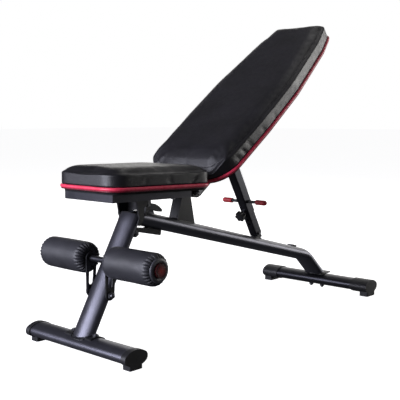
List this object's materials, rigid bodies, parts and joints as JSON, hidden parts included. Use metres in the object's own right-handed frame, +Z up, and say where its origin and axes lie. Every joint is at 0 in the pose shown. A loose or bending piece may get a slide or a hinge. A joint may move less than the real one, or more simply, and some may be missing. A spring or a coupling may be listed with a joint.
{
  "type": "adjustable weight bench",
  "caption": "Adjustable weight bench: hinged seat and backrest on a sloping oval spine, folding front leg with foam rollers, telescopic back strut and cross feet.",
  "frame": {"origin": "on the floor at the middle of the bench's length and width", "axes": "+Y runs from the front foot to the rear foot and the backrest's head, +Z is up, +X is the bench's right side"},
  "size_m": [0.434, 1.112, 0.8817],
  "materials": {
    "tube_paint": "satin",
    "bracket_paint": "satin",
    "bolt_steel": "satin",
    "black_plastic": "matte",
    "cap_plastic": "gloss",
    "grip_rubber": "matte",
    "pad_leather": "satin",
    "roller_leather": "satin",
    "board_cloth": "matte",
    "piping": "satin"
  },
  "bodies": {
    "frame": {"main_beam": "tube_paint", "hinge_cheeks": "bracket_paint", "fold_lug": "bracket_paint", "rear_flange": "bracket_paint", "rear_foot_tube": "tube_paint", "rear_foot_caps": "black_plastic", "rear_foot_bolts": "bolt_steel", "pivot_post": "bracket_paint", "pivot_sleeve": "bracket_paint", "main_axle": "bolt_steel", "axle_nuts": "bolt_steel", "strut_foot_bracket": "bracket_paint", "strut_foot_bolt": "bolt_steel", "strut_inner_tube": "tube_paint", "beam_hook": "bracket_paint", "lever_pin": "bolt_steel", "lever_spring": "bolt_steel", "fold_bolt": "bolt_steel", "fold_pin_housing": "bolt_steel"},
    "leg": {"front_leg": "tube_paint", "leg_top_cap": "black_plastic", "fold_ears": "bracket_paint", "front_saddle": "bracket_paint", "front_foot_tube": "tube_paint", "front_foot_caps": "black_plastic", "front_foot_bolts": "bolt_steel", "roller_arms": "bracket_paint", "arm_bolt": "bolt_steel", "roller_axle": "tube_paint", "axle_washers": "black_plastic"},
    "roller_left": {"foam_roller_left": "roller_leather", "roller_core_left": "black_plastic", "roller_cap_left": "cap_plastic"},
    "roller_right": {"foam_roller_right": "roller_leather", "roller_core_right": "black_plastic", "roller_cap_right": "cap_plastic"},
    "backrest": {"back_rails": "bracket_paint", "back_crossbars": "bracket_paint", "back_board": "board_cloth", "back_pad": "pad_leather", "back_piping": "piping", "strut_hanger": "bracket_paint", "back_screws": "bolt_steel"},
    "sleeve": {"strut_sleeve": "tube_paint", "strut_top_pin": "bolt_steel", "grip_bar": "bracket_paint", "grip_tips": "grip_rubber", "adjust_pin_housing": "bolt_steel"},
    "adjuster": {"adjust_pin": "bolt_steel", "adjust_knob": "black_plastic"},
    "seat": {"seat_frame": "tube_paint", "seat_board": "board_cloth", "seat_pad": "pad_leather", "seat_piping": "piping", "seat_sector": "bolt_steel", "seat_screws": "bolt_steel"},
    "lever": {"seat_lever": "bracket_paint"},
    "fold_lock": {"fold_pin": "bolt_steel", "fold_knob": "black_plastic"}
  },
  "joints": [
    {"name": "leg_fold", "type": "hinge", "parent": "frame", "child": "leg", "pos_m": [0, -0.3525, 0.284], "axis": [1, 0, 0], "range_deg": [0, 100]},
    {"name": "roller_left_spin", "type": "hinge", "parent": "leg", "child": "roller_left", "pos_m": [0, -0.4605, 0.228], "axis": [1, 0, 0], "continuous": true},
    {"name": "roller_right_spin", "type": "hinge", "parent": "leg", "child": "roller_right", "pos_m": [0, -0.4605, 0.228], "axis": [1, 0, 0], "continuous": true},
    {"name": "back_tilt", "type": "hinge", "parent": "frame", "child": "backrest", "pos_m": [0, -0.1625, 0.389], "axis": [1, 0, 0], "range_deg": [-12, 20]},
    {"name": "strut_slide", "type": "slide", "parent": "frame", "child": "sleeve", "axis": [0, -0.4833, 0.8755], "range_m": [-0.048, 0.079]},
    {"name": "adjust_pull", "type": "slide", "parent": "sleeve", "child": "adjuster", "axis": [0, -0.8755, -0.4833], "range_m": [0, 0.01], "stiffness_N_per_m": 400, "springref_m": -0.008},
    {"name": "seat_tilt", "type": "hinge", "parent": "frame", "child": "seat", "pos_m": [0, -0.1625, 0.389], "axis": [-1, 0, 0], "range_deg": [0, 8]},
    {"name": "lever_pull", "type": "hinge", "parent": "frame", "child": "lever", "pos_m": [0, -0.3195, 0.358], "axis": [-1, 0, 0], "range_deg": [0, 6], "stiffness_Nm_per_rad": 2, "springref_deg": -11.46},
    {"name": "fold_lock_pull", "type": "slide", "parent": "frame", "child": "fold_lock", "axis": [-1, 0, 0], "range_m": [0, 0.01], "stiffness_N_per_m": 400, "springref_m": -0.008}
  ],
  "couplings": [
    {"joint": "strut_slide", "follows": "back_tilt", "m_per_rad": 0.2217}
  ]
}
